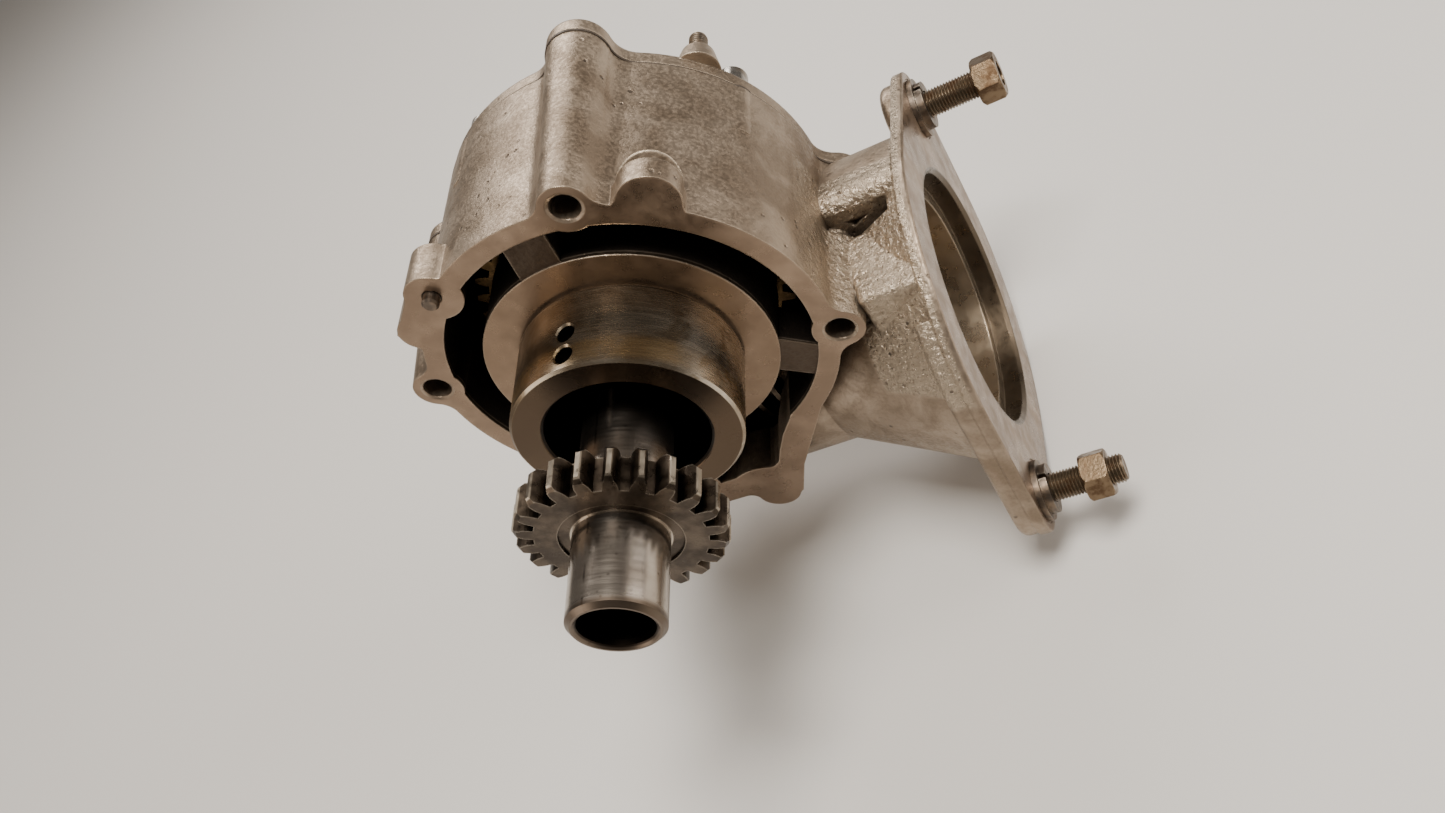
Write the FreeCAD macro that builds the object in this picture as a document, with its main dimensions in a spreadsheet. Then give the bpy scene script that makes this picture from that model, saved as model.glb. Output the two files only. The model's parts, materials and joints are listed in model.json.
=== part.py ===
import FreeCAD, Part
import math
import os
import re

# Right-angle worm gearbox. The output shaft runs along Y with its pinion end towards -Y, the mounting
# face lies in the plane Y = 0, the input port faces +X and +Z is up. All lengths are millimetres.

V = FreeCAD.Vector
ORIGIN = V(0, 0, 0)
AXES = {"X": V(1, 0, 0), "Y": V(0, 1, 0), "Z": V(0, 0, 1)}
TURNS = {
    "X": FreeCAD.Rotation(V(0, 1, 0), 90),
    "Y": FreeCAD.Rotation(V(1, 0, 0), -90),
    "Z": FreeCAD.Rotation(),
}

SIZES = [
    ("noseRadius", 13.75, "outer radius of the hollow shaft nose"),
    ("noseBore", 10.7, "bore radius at the nose"),
    ("noseEnd", -91.85, "Y of the nose end"),
    ("noseChamfer", 1.4, "chamfer on the nose end"),
    ("noseBoreEnd", -20.0, "Y where the wide nose bore ends"),
    ("oilBore", 6.0, "radius of the oil passage behind the nose bore"),
    ("neckRadius", 13.6, "shaft radius between pinion and front bearing"),
    ("collarRadius", 18.0, "shaft collar in front of the front bearing"),
    ("collarStart", 2.0, "Y of the collar front"),
    ("seatRadius", 15.0, "shaft radius under the front bearing and the wheel"),
    ("tailRadius", 12.5, "shaft radius under the rear bearing"),
    ("tailStart", 56.0, "Y of the rear bearing shoulder"),
    ("tailEnd", 74.0, "Y of the shaft rear end"),
    ("frontBearingStart", 9.5, "Y of the front bearing"),
    ("rearBearingEnd", 71.0, "Y of the rear bearing back face"),
    ("ballRaceOuter", 26.0, "outer radius of the rear and worm bearings"),
    ("pinionTeeth", 22, "pinion teeth"),
    ("pinionModule", 2.5, "pinion module"),
    ("pinionTip", 30.25, "pinion tip radius"),
    ("pinionRoot", 24.3, "pinion root radius"),
    ("pinionFront", -64.45, "Y of the pinion front face"),
    ("pinionRear", -53.65, "Y of the pinion rear face"),
    ("pinionBore", 14.2, "radius of the shaft seat and bore of the pinion"),
    ("pinionRelief", 17.6, "radius of the recess round the nose on the pinion front"),
    ("pinionReliefDepth", 0.8, "depth of that recess"),
    ("sleeveRadius", 34.6, "outer radius of the front sleeve"),
    ("sleeveBore", 24.75, "bore radius of the front sleeve"),
    ("sleeveFront", -29.2, "Y of the sleeve rim"),
    ("spigotRadius", 31.0, "radius of the sleeve spigot in the hub"),
    ("spigotEnd", 9.0, "Y of the spigot end"),
    ("oilHoleRadius", 2.9, "radius of the two sleeve oil holes"),
    ("oilHoleAngle", 88.3, "angle of the oil holes round Y, from +X"),
    ("oilHoleFront", -23.3, "Y of the front oil hole"),
    ("oilHoleRear", -15.4, "Y of the rear oil hole"),
    ("hubRadius", 45.6, "outer radius of the front hub"),
    ("hubEnd", 22.5, "Y of the hub rear end"),
    ("bodyRadius", 64.0, "outer radius of the housing body"),
    ("bodyEnd", 62.0, "Y of the rear joint face"),
    ("cavityRadius", 57.2, "radius of the housing cavity"),
    ("boltRadius", 64.5, "radius of the bolt circle"),
    ("boltHole", 4.5, "radius of the mounting holes"),
    ("boltAngle", 72.65, "angle of the first mounting hole round Y, from +X"),
    ("lugRadius", 7.7, "radius of each bolt lug at the mounting face"),
    ("lugRear", 10.0, "radius of each bolt lug at the rear joint"),
    ("lugRearCentre", 66.6, "centre radius of each bolt lug at the rear joint"),
    ("dowelCentre", 63.1, "centre radius of the dowel"),
    ("dowelAngle", 123.3, "angle of the dowel round Y, from +X"),
    ("dowelRadius", 2.6, "dowel radius"),
    ("dowelStick", 3.4, "dowel height above the mounting face"),
    ("wormHeight", -65.0, "Z of the worm axis"),
    ("wormAcross", 36.5, "Y of the worm axis"),
    ("tunnelRadius", 32.6, "outer radius of the worm tunnel"),
    ("tunnelBore", 20.5, "bore radius of the worm tunnel"),
    ("tailBossRadius", 22.0, "outer radius of the tunnel tail boss"),
    ("tailBossEnd", -70.0, "X of the tunnel tail end"),
    ("portFace", 92.5, "X of the port flange face"),
    ("portThickness", 10.0, "port flange thickness at its lower ear"),
    ("portPlate", 4.5, "port flange thickness elsewhere"),
    ("portSplit", -13.0, "distance along the stud line, from the worm axis, where the thick part ends"),
    ("portRound", 61.0, "radius of the port flange round its bore"),
    ("portEar", 13.6, "radius of the port flange ears"),
    ("portTilt", 32.4, "tilt of the line through the port studs, from +Y towards +Z"),
    ("studSpread", 67.8, "distance of each port stud from the worm axis"),
    ("studRadius", 4.75, "port stud radius over its free thread"),
    ("studGrip", 4.42, "port stud radius where its thread is engaged, at the pitch diameter"),
    ("studFree", 97.2, "X where the free thread starts, past the washers"),
    ("lowerNut", 107.0, "X of the lower port nut"),
    ("upperNut", 113.7, "X of the upper port nut"),
    ("nutHeight", 8.3, "height of the port nuts"),
    ("spotRadius", 11.0, "radius of the spot face round each port stud"),
    ("spotDepth", 0.3, "depth of the spot faces"),
    ("studEnd", 120.0, "X of the port stud ends"),
    ("studRoot", 83.5, "X where the port studs start"),
    ("pilotRadius", 43.5, "port pilot bore radius"),
    ("pilotDepth", 7.3, "port pilot bore depth"),
    ("recessRadius", 38.0, "port recess radius behind the pilot"),
    ("recessEnd", 68.0, "X of the port recess floor"),
    ("wormSeat", 26.0, "radius of the worm bearing seat"),
    ("wormSeatEnd", 48.0, "X of the worm bearing seat shoulder"),
    ("wormRoot", 12.0, "worm root radius"),
    ("wormPitch", 15.0, "worm pitch radius"),
    ("wormTip", 17.4, "worm tip radius"),
    ("wormLead", 15.708, "worm lead, two starts"),
    ("wheelTeeth", 40, "worm wheel teeth"),
    ("wheelModule", 2.5, "worm wheel module"),
    ("wheelTip", 51.2, "worm wheel tip radius"),
    ("wheelRoot", 47.0, "worm wheel root radius"),
    ("wheelFace", 20.0, "worm wheel face width"),
    ("gasketThickness", 0.8, "rear gasket thickness"),
    ("coverFlange", 6.0, "rear cover flange thickness"),
    ("coverBoss", 37.0, "rear cover boss radius"),
    ("coverEnd", 81.0, "Y of the rear cover end"),
    ("screwRadius", 3.0, "cover screw radius"),
    ("screwCircle", 57.8, "centre radius of the cover screws"),
]

doc = FreeCAD.newDocument("gearbox")
sheet = doc.addObject("Spreadsheet::Sheet", "Sizes")
for row, (alias, value, note) in enumerate(SIZES, start=1):
    sheet.set("A%d" % row, note)
    sheet.set("B%d" % row, str(value))
    sheet.setAlias("B%d" % row, alias)
doc.recompute()

NODES = []


def size(name):
    return float(sheet.get(name))


def bound(text):
    """Formula for setExpression in which every word is a spreadsheet alias."""
    return re.sub(r"[A-Za-z]\w*", lambda word: "Sizes." + word.group(0), text)


def node(item, label):
    item.Label = label
    NODES.append(item)
    return item


def feature(label, shape):
    item = doc.addObject("Part::Feature", label)
    item.Shape = shape
    return node(item, label)


def fused(shapes):
    return shapes[0].multiFuse(shapes[1:]).removeSplitter()


def polar(radius, degrees, y=0.0):
    turn = math.radians(degrees)
    return V(radius * math.cos(turn), y, radius * math.sin(turn))


# --- turned pieces built from bound cylinders and cones ---------------------------------------------


def step(label, axis, at, start, end, radius, far_radius=None):
    """One cylinder, or one cone when far_radius is given, between two stations on the axis."""
    kind = "Part::Cone" if far_radius else "Part::Cylinder"
    item = doc.addObject(kind, label)
    item.Placement = FreeCAD.Placement(at, TURNS[axis])
    item.setExpression("Height", bound("(%s) - (%s)" % (end, start)))
    item.setExpression("Placement.Base." + axis.lower(), bound(start))
    if far_radius:
        item.setExpression("Radius1", bound(radius))
        item.setExpression("Radius2", bound(far_radius))
    else:
        item.setExpression("Radius", bound(radius))
    return item


def turned(label, axis, at, outside, inside):
    """Stack of outside steps less the inside steps."""
    solids = [step("%s_out%d" % (label, n), axis, at, *s) for n, s in enumerate(outside)]
    item = solids[0]
    if len(solids) > 1:
        item = doc.addObject("Part::MultiFuse", label + "_stack")
        item.Shapes = solids
        item.Refine = True
    if inside:
        holes = [step("%s_in%d" % (label, n), axis, at, *s) for n, s in enumerate(inside)]
        tool = holes[0]
        if len(holes) > 1:
            tool = doc.addObject("Part::MultiFuse", label + "_bores")
            tool.Shapes = holes
        cut = doc.addObject("Part::Cut", label + "_cut")
        cut.Base = item
        cut.Tool = tool
        item = cut
    return item


def less(label, base, tools):
    """Base object less plain shapes, kept as one boolean in the tree."""
    tool = doc.addObject("Part::Feature", label + "_tools")
    tool.Shape = Part.makeCompound(tools)
    cut = doc.addObject("Part::Cut", label + "_less")
    cut.Base = base
    cut.Tool = tool
    return cut


# --- outlines -----------------------------------------------------------------------------------------


def disc(radius, centre=ORIGIN):
    return Part.Face(Part.Wire(Part.makeCircle(radius, centre)))


def polygon(points):
    """Flat face through (a, b) points, always facing local +z."""
    corners = [V(a, b, 0) for a, b in points]
    pairs = zip(corners, corners[1:] + corners[:1])
    if sum(p.x * q.y - q.x * p.y for p, q in pairs) < 0:
        corners.reverse()
    return Part.Face(Part.makePolygon(corners + corners[:1]))


def flat_polar(radius, degrees):
    turn = math.radians(degrees)
    return V(radius * math.cos(turn), radius * math.sin(turn), 0)


def closed_outline(faces, fillet):
    """Union of flat faces with every inner corner rounded by the fillet radius."""
    union = fused(faces)
    wide = Part.Face(union.Faces[0].OuterWire).makeOffset2D(fillet)
    back = wide.makeOffset2D(-fillet)
    return Part.Face(back.Faces[0].OuterWire)


def hull(big, small, spread):
    """Disc with an ear on each side, joined by common tangents; ears lie along local x."""
    sine = (big - small) / spread
    cosine = math.sqrt(1 - sine * sine)
    near = V(big * sine, big * cosine, 0)
    far = V(spread + small * sine, small * cosine, 0)
    corners = [V(a * p.x, b * p.y, 0) for a, b in ((1, 1), (1, -1), (-1, -1), (-1, 1)) for p in (near, far)]
    right_top, right_out, right_low, right_in, left_low, left_out, left_top, left_in = corners
    edges = [
        Part.makeLine(right_top, right_out),
        Part.Arc(right_out, V(spread + small, 0, 0), right_in).toShape(),
        Part.makeLine(right_in, right_low),
        Part.Arc(right_low, V(0, -big, 0), left_low).toShape(),
        Part.makeLine(left_low, left_out),
        Part.Arc(left_out, V(-spread - small, 0, 0), left_in).toShape(),
        Part.makeLine(left_in, left_top),
        Part.Arc(left_top, V(0, big, 0), right_top).toShape(),
    ]
    return Part.Face(Part.Wire(edges))


def raise_y(face, start, end):
    """Extrude a face drawn with local x = X and local y = Z between two Y stations."""
    solid = face.extrude(V(0, 0, -(end - start)))
    solid.rotate(ORIGIN, V(1, 0, 0), 90)
    solid.translate(V(0, start, 0))
    return solid


def raise_x(face, start, end):
    """Extrude a face drawn with local x = Y and local y = Z between two X stations."""
    solid = face.extrude(V(0, 0, end - start))
    solid.rotate(ORIGIN, V(1, 1, 1), 120)
    solid.translate(V(start, 0, 0))
    return solid


def rod(axis, at, start, end, radius, far_radius=None):
    """Plain cylinder or cone along an axis between two stations."""
    direction = AXES[axis]
    base = V(at) + direction * (start - at.dot(direction))
    if far_radius is None:
        return Part.makeCylinder(radius, end - start, base, direction)
    return Part.makeCone(radius, far_radius, end - start, base, direction)


def block(low, high):
    span = V(*high) - V(*low)
    return Part.makeBox(span.x, span.y, span.z, V(*low))


# --- stations shared by several pieces ----------------------------------------------------------------

BOLTS = [size("boltAngle") - 90 * n for n in range(4)]
SCREWS = [size("boltAngle") - 45 - 90 * n for n in range(4)]
WORM = V(0, size("wormAcross"), size("wormHeight"))
TILT = math.radians(size("portTilt"))
PORT_LINE = V(0, math.cos(TILT), math.sin(TILT))
STUDS = [WORM - PORT_LINE * size("studSpread"), WORM + PORT_LINE * size("studSpread")]
BODY_END = size("bodyEnd")
COVER_START = BODY_END + size("gasketThickness")
COVER_FACE = COVER_START + size("coverFlange")
NECK_END = size("portFace") - size("portPlate") + 0.2


# --- housing ------------------------------------------------------------------------------------------


def lug_discs(centre, radius):
    return [disc(radius, flat_polar(centre, angle)) for angle in BOLTS]


def body_solid():
    """Round body whose four bolt ribs grow from the mounting face to the rear joint."""
    front = closed_outline([disc(size("bodyRadius"))] + lug_discs(size("boltRadius"), size("lugRadius")), 7)
    rear = closed_outline([disc(size("bodyRadius"))] + lug_discs(size("lugRearCentre"), size("lugRear")), 7)
    low = front.OuterWire
    high = rear.OuterWire
    high.translate(V(0, 0, -BODY_END))
    solid = Part.makeLoft([low, high], True, True)
    solid.rotate(ORIGIN, V(1, 0, 0), 90)
    return solid


def foot_outline():
    """Lower part of the mounting face, in front of the worm tunnel."""
    plate = polygon([(43, -46), (20.5, -76), (13, -90), (4.8, -84), (-40, -82.5), (-57, -32), (0, -20)])
    tip = disc(7.6, V(4.8, -87.3, 0))
    return closed_outline([plate, tip], 4)


def front_layers():
    """Lugs that stand only near the mounting face."""
    dowel = flat_polar(size("dowelCentre"), size("dowelAngle"))
    wide = [disc(8.2, dowel), disc(7.0, flat_polar(64.0, 138.5)), disc(62)]
    wide.append(polygon([(0, 0)] + [tuple(flat_polar(r, a))[:2] for r, a in ((70.6, 121), (71.0, 140.5))]))
    blank = [disc(62), disc(9.2, flat_polar(65.3, 52.6))]
    partner = [disc(62), disc(8.2, flat_polar(63.1, -146))]
    layers = [raise_y(closed_outline(wide, 6), 0, 14)]
    layers.append(raise_y(closed_outline(blank, 7), 0, 7.6))
    layers.append(raise_y(closed_outline(partner, 6), 0, 23))
    layers.append(raise_y(foot_outline(), 0, 12))
    slope = Part.makeCone(9.2, 3.0, 9, polar(65.3, 52.6, 7.4), V(-0.42, 1, -0.56))
    return layers + [slope]


def tunnel_solid():
    """Worm tunnel, its tail boss and the cone that opens towards the port flange."""
    shell = [rod("X", WORM, -46, 38, size("tunnelRadius"))]
    shell.append(rod("X", WORM, size("tailBossEnd"), -46, size("tailBossRadius")))
    shell.append(rod("X", WORM, 38, NECK_END, size("tunnelRadius"), 57.9))
    return shell


def rough_block():
    """Rounded block in front of the neck, its left side drawn in towards the front."""
    floor = [(69.7, 2.7), (NECK_END, 2.7), (NECK_END, 31.0), (70.5, 31.0), (65.9, 28.4)]
    corners = [V(x, y, -46) for x, y in floor]
    solid = Part.Face(Part.makePolygon(corners + corners[:1])).extrude(V(0, 0, 32))
    left = [e for e in solid.Edges if e.BoundBox.ZLength > 30 and e.BoundBox.XMax < 80]
    solid = solid.makeFillet(2.4, left)
    top = [e for e in solid.Edges if e.BoundBox.ZMin > -14.01 and e.BoundBox.XMin < NECK_END - 1]
    return solid.makeFillet(2.2, top)


def neck_solids():
    """Bridge between body and port flange: curved top panel, rounded roll, rear wall and rough block."""
    slab = block((50, 41.5, -40), (NECK_END, BODY_END, 5))
    panel = rod("X", WORM, 50, NECK_END, 60.8).common(slab)
    roll = rod("X", V(0, 42, -10.3), 58, NECK_END, 6.2)
    wall = block((38, 44, -70), (NECK_END, BODY_END, -12))
    return [panel, roll, wall, rough_block()]


def neck_pocket():
    """Slot between the roll and the rough block, clear of the body wall and of the bolt hole."""
    slot = block((62, 31.0, -24), (84, 36.2, 6))
    rib = rod("Y", polar(size("boltRadius"), BOLTS[1]), 20, 50, 6.4)
    return slot.cut(rib).cut(rod("Y", ORIGIN, 20, 50, size("bodyRadius")))


def port_outline(inset):
    face = hull(size("portRound") - inset, size("portEar") - inset, size("studSpread"))
    face.rotate(ORIGIN, V(0, 0, 1), size("portTilt"))
    face.translate(V(WORM.y, WORM.z, 0))
    return face


def rim_fillet(plate, x, radius):
    """Round every edge of a plate that lies in the plane at x."""
    rims = [e for e in plate.Edges if abs(e.BoundBox.XMin - x) < 1e-6 and abs(e.BoundBox.XMax - x) < 1e-6]
    return plate.makeFillet(radius, rims)


def port_flange():
    """Two-eared port flange: a thin plate, doubled in depth towards the lower ear, with a stud boss above."""
    end = size("portFace")
    start = end - size("portThickness")
    middle = end - size("portPlate")
    plate = raise_x(port_outline(0), middle, end)
    plate = rim_fillet(rim_fillet(plate, middle, 1.2), end, 0.8)
    deep = rim_fillet(raise_x(port_outline(0.7), start, middle + 1.5), start, 3.0)
    upper = block((start - 1, size("portSplit"), -100), (middle + 1.6, 120, 100))
    upper.rotate(ORIGIN, AXES["X"], size("portTilt"))
    upper.translate(WORM)
    boss = rim_fillet(rod("X", STUDS[1], start, middle + 1.5, 11.2), start, 2.6)
    return [plate, deep.cut(upper), boss]


def hub_solids():
    """Front hub ring with three webs to the wall."""
    pieces = [rod("Y", ORIGIN, 0, size("hubEnd"), size("hubRadius"))]
    web = raise_y(polygon([(-5.2, 59), (8.6, 59), (5.4, 43), (-9.0, 43)]), 0.8, 14)
    for angle in (0, 119.5, 239.5):
        pieces.append(web.rotated(ORIGIN, AXES["Y"], angle))
    return pieces


def cavity_solid():
    """Main cavity, narrowed by the bosses round each bolt hole and round the dowel."""
    hollow = disc(size("cavityRadius"))
    bosses = [disc(8.6, flat_polar(size("boltRadius"), angle)) for angle in BOLTS]
    bosses.append(disc(9.4, flat_polar(size("dowelCentre"), size("dowelAngle"))))
    hollow = hollow.cut(bosses[0]).cut(bosses[1]).cut(bosses[2]).cut(bosses[3]).cut(bosses[4])
    return raise_y(Part.Face(hollow.Faces[0].OuterWire), 0, BODY_END)


def sump_solid():
    """Lower window that joins the cavity to the worm tunnel."""
    side = [(32, -40), (28.6, -50), (21.9, -57.5), (17, -64.6), (13.4, -70.6), (11, -72.2)]
    window = polygon(side + [(-10.5, -72), (-10.5, -50)])
    keep = disc(15.0, V(2.5, -85.5, 0))
    bolt = disc(8.6, flat_polar(size("boltRadius"), BOLTS[2]))
    return raise_y(window.cut(keep).cut(bolt), 0, size("wormAcross"))


def port_bores():
    end = size("portFace")
    pilot = rod("X", WORM, end - size("pilotDepth"), end + 1, size("pilotRadius"))
    mouth = rod("X", WORM, end - 1.2, end + 0.3, size("pilotRadius"), size("pilotRadius") + 1.5)
    recess = rod("X", WORM, size("recessEnd"), end, size("recessRadius"))
    seat = rod("X", WORM, size("wormSeatEnd"), end, size("wormSeat"))
    groove = rod("X", WORM, 63.1, 65.3, size("wormSeat") + 2.2)
    tunnel = rod("X", WORM, -44, end, size("tunnelBore"))
    bush = rod("X", WORM, -62, 0, 14.0)
    plug = rod("X", WORM, size("tailBossEnd") - 1, -64, 16.0)
    link = rod("X", WORM, -65, 0, 11.0)
    return [pilot, mouth, recess, seat, groove, tunnel, bush, plug, link]


def fixing_holes():
    holes = []
    for angle in BOLTS:
        holes.append(rod("Y", polar(size("boltRadius"), angle), -1, BODY_END + 1, size("boltHole")))
        mouth = rod("Y", polar(size("boltRadius"), angle), -0.1, 0.45, size("boltHole") + 1.1, size("boltHole"))
        holes.append(mouth)
    for angle in SCREWS:
        holes.append(rod("Y", polar(size("screwCircle"), angle), 54, BODY_END + 1, size("screwRadius")))
    dowel = polar(size("dowelCentre"), size("dowelAngle"))
    holes.append(rod("Y", dowel, -1, 12, size("dowelRadius")))
    holes.append(rod("Y", dowel, -0.1, 0.4, size("dowelRadius") + 0.5, size("dowelRadius")))
    face = size("portFace")
    for stud in STUDS:
        holes.append(rod("X", stud, size("studRoot"), face + 1, size("studGrip")))
        holes.append(rod("X", stud, face - size("spotDepth"), face + 1, size("spotRadius")))
    return holes


def housing_shape():
    outside = [body_solid()] + front_layers() + tunnel_solid() + neck_solids() + port_flange()
    shell = fused(outside).cut(neck_pocket())
    behind = rod("Y", ORIGIN, BODY_END, BODY_END + 60, 80.5)
    shell = shell.cut(behind).cut(cavity_solid()).cut(sump_solid())
    screws = [rod("Y", polar(size("screwCircle"), a), 42, BODY_END, 6.6) for a in SCREWS]
    shell = fused([shell] + hub_solids() + screws)
    bores = [rod("Y", ORIGIN, -1, size("spigotEnd"), size("spigotRadius"))]
    bores.append(rod("Y", ORIGIN, 0, size("hubEnd") + 1, 27.5))
    bores.append(rod("Y", ORIGIN, 26.0, BODY_END, size("wheelTip") + 2.0))
    shell = shell.cut(Part.makeCompound(bores + fixing_holes()))
    for bore in port_bores():
        shell = shell.cut(bore)
    return shell.removeSplitter()


feature("housing", housing_shape())


# --- front sleeve and dowel ---------------------------------------------------------------------------


def make_sleeve():
    outside = [
        ("sleeveFront", "sleeveFront + 0.8", "sleeveRadius - 0.8", "sleeveRadius"),
        ("sleeveFront + 0.8", "-1.6", "sleeveRadius"),
        ("-1.6", "0", "sleeveRadius - 0.9"),
        ("0", "spigotEnd", "spigotRadius"),
    ]
    inside = [
        ("sleeveFront - 1", "spigotEnd + 1", "sleeveBore"),
        ("sleeveFront - 0.1", "sleeveFront + 0.9", "sleeveBore + 1", "sleeveBore"),
    ]
    body = turned("front_sleeve", "Y", ORIGIN, outside, inside)
    outward = polar(1, size("oilHoleAngle"))
    holes = []
    for y in (size("oilHoleFront"), size("oilHoleRear")):
        start = outward * (size("sleeveBore") - 3) + V(0, y, 0)
        holes.append(Part.makeCylinder(size("oilHoleRadius"), 16, start, outward))
        rim = outward * (size("sleeveRadius") - 0.6) + V(0, y, 0)
        holes.append(Part.makeCone(size("oilHoleRadius"), size("oilHoleRadius") + 0.9, 0.9, rim, outward))
    node(less("front_sleeve", body, holes), "front_sleeve")


def make_dowel():
    at = polar(size("dowelCentre"), size("dowelAngle"))
    steps = [
        ("-dowelStick", "-dowelStick + 0.7", "dowelRadius - 0.7", "dowelRadius"),
        ("-dowelStick + 0.7", "-0.65", "dowelRadius"),
        ("-0.65", "0", "dowelRadius - 0.25"),
        ("0", "12", "dowelRadius"),
    ]
    node(turned("flange_dowel", "Y", at, steps, []), "flange_dowel")


make_sleeve()
make_dowel()


# --- rear cover, gasket and fixings -------------------------------------------------------------------


def joint_outline():
    """Outline of the rear joint with its four bolt lobes."""
    lobes = lug_discs(size("lugRearCentre"), size("lugRear") + 0.3)
    return closed_outline([disc(size("bodyRadius") - 0.3)] + lobes, 9)


def joint_holes(start, end):
    holes = [rod("Y", polar(size("boltRadius"), a), start, end, size("boltHole")) for a in BOLTS]
    return holes + [rod("Y", polar(size("screwCircle"), a), start, end, size("screwRadius")) for a in SCREWS]


def gasket_shape():
    ring = raise_y(joint_outline(), BODY_END, COVER_START)
    middle = cavity_solid()
    middle.translate(V(0, 1, 0))
    bosses = [rod("Y", polar(size("screwCircle"), a), BODY_END, COVER_START, 6.6) for a in SCREWS]
    ring = fused([ring.cut(middle)] + bosses)
    return ring.cut(Part.makeCompound(joint_holes(BODY_END - 1, COVER_START + 1)))


def cover_stud_at(y):
    return V(46.0, y, 39.0)


def cover_shape():
    plate = raise_y(joint_outline(), COVER_START, COVER_FACE)
    rims = [e for e in plate.Edges if e.BoundBox.YMin > COVER_FACE - 1e-6]
    plate = plate.makeFillet(2.2, rims)
    dome = rod("Y", ORIGIN, COVER_FACE - 1, COVER_FACE + 4, 56, 44)
    boss = rod("Y", ORIGIN, COVER_FACE, size("coverEnd"), size("coverBoss"), size("coverBoss") - 2)
    boss = boss.makeFillet(3.0, [e for e in boss.Edges if e.BoundBox.YMin > size("coverEnd") - 1e-6])
    inner = rod("Y", ORIGIN, size("tailStart"), COVER_START + 1, 36.0)
    stud = rod("Y", cover_stud_at(0), COVER_FACE - 2, 74.5, 7.4, 5.4)
    ribs = []
    for angle in BOLTS:
        rib = block((30, COVER_FACE - 1, -3), (62, COVER_FACE + 6, 3))
        rib.rotate(ORIGIN, V(0, 1, 0), -angle)
        ribs.append(rib)
    solid = fused([plate, dome, boss, inner, stud] + ribs)
    bores = [rod("Y", ORIGIN, size("tailStart") - 1, size("rearBearingEnd"), size("ballRaceOuter"))]
    bores.append(rod("Y", ORIGIN, 60, 77.0, 21.0))
    bores.append(rod("Y", cover_stud_at(0), 66, 80, 3.0))
    for angle in SCREWS:
        bores.append(rod("Y", polar(size("screwCircle"), angle), COVER_FACE - 0.6, COVER_FACE + 9, 6.2))
    bores += joint_holes(COVER_START - 1, COVER_FACE + 12)
    return solid.cut(Part.makeCompound(bores))


def socket_tool(at, y, across, depth):
    socket = Part.Face(Part.makePolygon([V(across / math.sqrt(3) * math.cos(math.radians(60 * n)), 0,
                                           across / math.sqrt(3) * math.sin(math.radians(60 * n)))
                                         for n in range(7)]))
    socket.translate(V(at.x, y, at.z))
    return socket.extrude(V(0, depth, 0))


def cover_screw_shape(angle):
    at = polar(size("screwCircle"), angle)
    seat = COVER_FACE - 0.6
    shank = rod("Y", at, 54.2, seat, size("screwRadius"))
    head = rod("Y", at, seat, seat + 6, 5.0)
    head = head.makeFillet(0.6, [e for e in head.Edges if e.BoundBox.YMin > seat + 5.9])
    return fused([shank, head]).cut(socket_tool(at, seat + 3, 5.0, 4))


feature("rear_cover", cover_shape())
feature("cover_gasket", gasket_shape())
feature("cover_screws", Part.makeCompound([cover_screw_shape(a) for a in SCREWS]))
STUD_STEPS = [
    ("66", "74.5", "3.0"),
    ("74.5", "75.15", "2.6"),
    ("75.15", "83.4", "3.0"),
    ("83.4", "84.2", "3.0", "2.3"),
]
node(turned("cover_stud", "Y", cover_stud_at(0), STUD_STEPS, []), "cover_stud")


# --- port fixings -------------------------------------------------------------------------------------


def pair(label, near, far):
    """The matching pieces at the two port studs, kept as one node of two solids."""
    both = doc.addObject("Part::Compound", label + "_pair")
    both.Links = [near, far]
    return node(both, label)


def make_stud(label, at, nut):
    """Stud drawn at its pitch diameter in the ear and in the nut, and at its full diameter between them."""
    tip = "studEnd - 1.2"
    beyond = size(nut) + size("nutHeight") < size("studEnd") - 1.2
    outer = "studRadius" if beyond else "studGrip"
    nut_end = nut + " + nutHeight" if beyond else tip
    steps = [
        ("studRoot", "studFree", "studGrip"),
        ("studFree", nut + " - 0.5", "studRadius"),
        (nut + " - 0.5", nut_end, "studGrip"),
        (tip, "studEnd", outer, "studRadius - 1.1"),
    ]
    if beyond:
        steps.insert(3, (nut_end, tip, outer))
    return turned(label, "X", at, steps, [])


def make_washer(label, at, start, end, outer, inner, gap):
    ring = turned(label, "X", at, [(start, end, outer)], [(start + " - 1", end + " + 1", inner)])
    if gap:
        slot = block((90, at.y - gap / 2, at.z), (100, at.y + gap / 2, at.z + 14))
        ring = less(label, ring, [slot])
    return ring


def make_washers(label, start, end, outer, inner, gap):
    near, far = [make_washer("%s_%d" % (label, n), at, start, end, outer, inner, gap) for n, at in enumerate(STUDS)]
    pair(label, near, far)


def nut_shape(stud, start, twist):
    """Hexagon nut, 9/16 inch across flats, with turned corners."""
    across = 14.3
    height = size("nutHeight")
    hexagon = [V(start, across / math.sqrt(3) * math.cos(math.radians(60 * n + twist)),
                 across / math.sqrt(3) * math.sin(math.radians(60 * n + twist))) for n in range(7)]
    body = Part.Face(Part.makePolygon(hexagon)).extrude(V(height, 0, 0))
    top = Part.makeCone(7.3, 7.3 + height, height, V(start, 0, 0), AXES["X"])
    low = Part.makeCone(7.3 + height, 7.3, height, V(start, 0, 0), AXES["X"])
    body = body.common(top).common(low)
    body = body.cut(Part.makeCylinder(size("studGrip"), height + 2, V(start - 1, 0, 0), AXES["X"]))
    body.translate(V(0, stud.y, stud.z))
    return body


pair("port_studs", make_stud("lower_stud", STUDS[0], "lowerNut"), make_stud("upper_stud", STUDS[1], "upperNut"))
WASHER_FACE = "portFace - spotDepth"
make_washers("port_plain_washers", WASHER_FACE, WASHER_FACE + " + 2", "10.2", "studRadius + 0.3", 0)
make_washers("port_lock_washers", WASHER_FACE + " + 2", WASHER_FACE + " + 4.4", "8.2", "studRadius + 0.2", 1.6)
NUTS = [nut_shape(STUDS[0], size("lowerNut"), 12), nut_shape(STUDS[1], size("upperNut"), 40)]
feature("port_nuts", Part.makeCompound(NUTS))


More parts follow.
